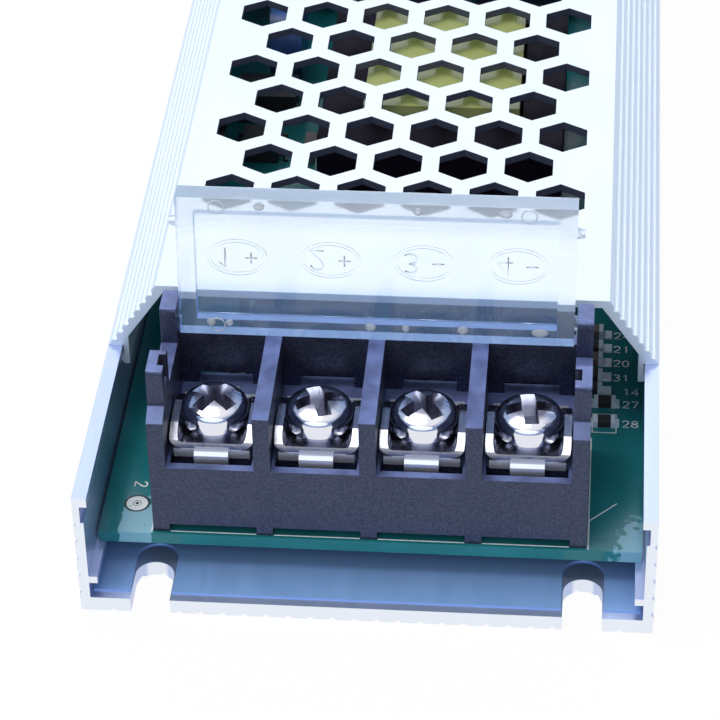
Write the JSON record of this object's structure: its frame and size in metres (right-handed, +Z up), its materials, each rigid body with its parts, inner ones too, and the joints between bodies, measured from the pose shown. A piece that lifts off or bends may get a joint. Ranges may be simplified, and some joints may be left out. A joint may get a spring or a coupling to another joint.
{
  "type": "power supply",
  "caption": "Slim enclosed power supply: grooved aluminium channel, perforated ribbed cover, and barrier terminal blocks with screw clamps under hinged clear flaps.",
  "frame": {"origin": "middle of the underside", "axes": "+Y along the length from the output end to the input end, +Z up, +X to the right when facing the output end"},
  "size_m": [0.052, 0.19, 0.0336],
  "materials": {
    "channel_aluminium": "satin anodised",
    "cover_aluminium": "satin anodised",
    "insulating_film": "satin",
    "board_laminate": "glossy solder mask",
    "black_moulding": "fine grain",
    "tinned_contact": "tin plated",
    "nickel_clamp": "nickel plated",
    "nickel_screw": "bright nickel plated",
    "clear_plastic": "clear",
    "ferrite": "matt",
    "yellow_tape": "satin",
    "dark_sleeve": "glossy",
    "enamelled_wire": "glossy enamel",
    "black_epoxy": "matt",
    "bar_aluminium": "mill finish",
    "yellow_box": "glossy",
    "fuse_glass": "clear",
    "nickel_cap": "bright",
    "green_epoxy": "satin",
    "blue_epoxy": "satin",
    "chip_black": "satin",
    "chip_tan": "satin"
  },
  "bodies": {
    "case": {"base_channel": "channel_aluminium", "top_cover": "cover_aluminium", "insulation_sheet": "insulating_film", "circuit_board": "board_laminate", "output_block": "black_moulding", "output_contacts": "tinned_contact", "input_block": "black_moulding", "input_contacts": "tinned_contact", "transformer_core": "ferrite", "transformer_coil": "yellow_tape", "bulk_capacitor_1": "dark_sleeve", "bulk_capacitor_2": "dark_sleeve", "output_capacitor_1": "dark_sleeve", "output_capacitor_2": "dark_sleeve", "output_capacitor_3": "dark_sleeve", "inductor_core": "ferrite", "inductor_winding": "enamelled_wire", "output_rectifiers": "black_epoxy", "heat_bar": "bar_aluminium", "switching_transistors": "black_epoxy", "bridge_rectifier": "black_epoxy", "choke_core": "ferrite", "choke_windings": "enamelled_wire", "interference_capacitor": "yellow_box", "fuse_tube": "fuse_glass", "fuse_caps": "nickel_cap", "thermistor": "green_epoxy", "varistor": "blue_epoxy", "safety_capacitor": "blue_epoxy", "optocoupler": "black_epoxy", "control_chip": "black_epoxy", "chip_resistors": "chip_black", "chip_capacitors": "chip_tan"},
    "output_flap_body": {"output_flap": "clear_plastic"},
    "input_flap_body": {"input_flap": "clear_plastic"},
    "output_clamp_1": {"output_washer_1": "nickel_clamp"},
    "output_screw_body_1": {"output_screw_1": "nickel_screw"},
    "output_clamp_2": {"output_washer_2": "nickel_clamp"},
    "output_screw_body_2": {"output_screw_2": "nickel_screw"},
    "output_clamp_3": {"output_washer_3": "nickel_clamp"},
    "output_screw_body_3": {"output_screw_3": "nickel_screw"},
    "output_clamp_4": {"output_washer_4": "nickel_clamp"},
    "output_screw_body_4": {"output_screw_4": "nickel_screw"},
    "input_clamp_1": {"input_washer_1": "nickel_clamp"},
    "input_screw_body_1": {"input_screw_1": "nickel_screw"},
    "input_clamp_2": {"input_washer_2": "nickel_clamp"},
    "input_screw_body_2": {"input_screw_2": "nickel_screw"},
    "input_clamp_3": {"input_washer_3": "nickel_clamp"},
    "input_screw_body_3": {"input_screw_3": "nickel_screw"}
  },
  "joints": [
    {"name": "output_flap_hinge", "type": "hinge", "parent": "case", "child": "output_flap_body", "pos_m": [0, -0.0768, 0.02096], "axis": [1, 0, 0], "range_deg": [-80, 95]},
    {"name": "input_flap_hinge", "type": "hinge", "parent": "case", "child": "input_flap_body", "pos_m": [0, 0.0768, 0.02096], "axis": [1, 0, 0], "range_deg": [0, 175]},
    {"name": "output_clamp_lift_1", "type": "slide", "parent": "case", "child": "output_clamp_1", "axis": [0, 0, 1], "range_m": [0, 0.0025]},
    {"name": "output_screw_turn_1", "type": "hinge", "parent": "output_clamp_1", "child": "output_screw_body_1", "pos_m": [-0.01425, -0.0845, 0.0143], "axis": [0, 0, 1], "range_deg": [0, 1800]},
    {"name": "output_clamp_lift_2", "type": "slide", "parent": "case", "child": "output_clamp_2", "axis": [0, 0, 1], "range_m": [0, 0.0025]},
    {"name": "output_screw_turn_2", "type": "hinge", "parent": "output_clamp_2", "child": "output_screw_body_2", "pos_m": [-0.00475, -0.0845, 0.0143], "axis": [0, 0, 1], "range_deg": [0, 1800]},
    {"name": "output_clamp_lift_3", "type": "slide", "parent": "case", "child": "output_clamp_3", "axis": [0, 0, 1], "range_m": [0, 0.0025]},
    {"name": "output_screw_turn_3", "type": "hinge", "parent": "output_clamp_3", "child": "output_screw_body_3", "pos_m": [0.00475, -0.0845, 0.0143], "axis": [0, 0, 1], "range_deg": [0, 1800]},
    {"name": "output_clamp_lift_4", "type": "slide", "parent": "case", "child": "output_clamp_4", "axis": [0, 0, 1], "range_m": [0, 0.0025]},
    {"name": "output_screw_turn_4", "type": "hinge", "parent": "output_clamp_4", "child": "output_screw_body_4", "pos_m": [0.01425, -0.0845, 0.0143], "axis": [0, 0, 1], "range_deg": [0, 1800]},
    {"name": "input_clamp_lift_1", "type": "slide", "parent": "case", "child": "input_clamp_1", "axis": [0, 0, 1], "range_m": [0, 0.0025]},
    {"name": "input_screw_turn_1", "type": "hinge", "parent": "input_clamp_1", "child": "input_screw_body_1", "pos_m": [0.0095, 0.0845, 0.0143], "axis": [0, 0, 1], "range_deg": [0, 1800]},
    {"name": "input_clamp_lift_2", "type": "slide", "parent": "case", "child": "input_clamp_2", "axis": [0, 0, 1], "range_m": [0, 0.0025]},
    {"name": "input_screw_turn_2", "type": "hinge", "parent": "input_clamp_2", "child": "input_screw_body_2", "pos_m": [0, 0.0845, 0.0143], "axis": [0, 0, 1], "range_deg": [0, 1800]},
    {"name": "input_clamp_lift_3", "type": "slide", "parent": "case", "child": "input_clamp_3", "axis": [0, 0, 1], "range_m": [0, 0.0025]},
    {"name": "input_screw_turn_3", "type": "hinge", "parent": "input_clamp_3", "child": "input_screw_body_3", "pos_m": [-0.0095, 0.0845, 0.0143], "axis": [0, 0, 1], "range_deg": [0, 1800]}
  ],
  "couplings": [
    {"joint": "output_screw_turn_1", "follows": "output_clamp_lift_1", "rad_per_m": 12566},
    {"joint": "output_screw_turn_2", "follows": "output_clamp_lift_2", "rad_per_m": 12566},
    {"joint": "output_screw_turn_3", "follows": "output_clamp_lift_3", "rad_per_m": 12566},
    {"joint": "output_screw_turn_4", "follows": "output_clamp_lift_4", "rad_per_m": 12566},
    {"joint": "input_screw_turn_1", "follows": "input_clamp_lift_1", "rad_per_m": 12566},
    {"joint": "input_screw_turn_2", "follows": "input_clamp_lift_2", "rad_per_m": 12566},
    {"joint": "input_screw_turn_3", "follows": "input_clamp_lift_3", "rad_per_m": 12566}
  ]
}
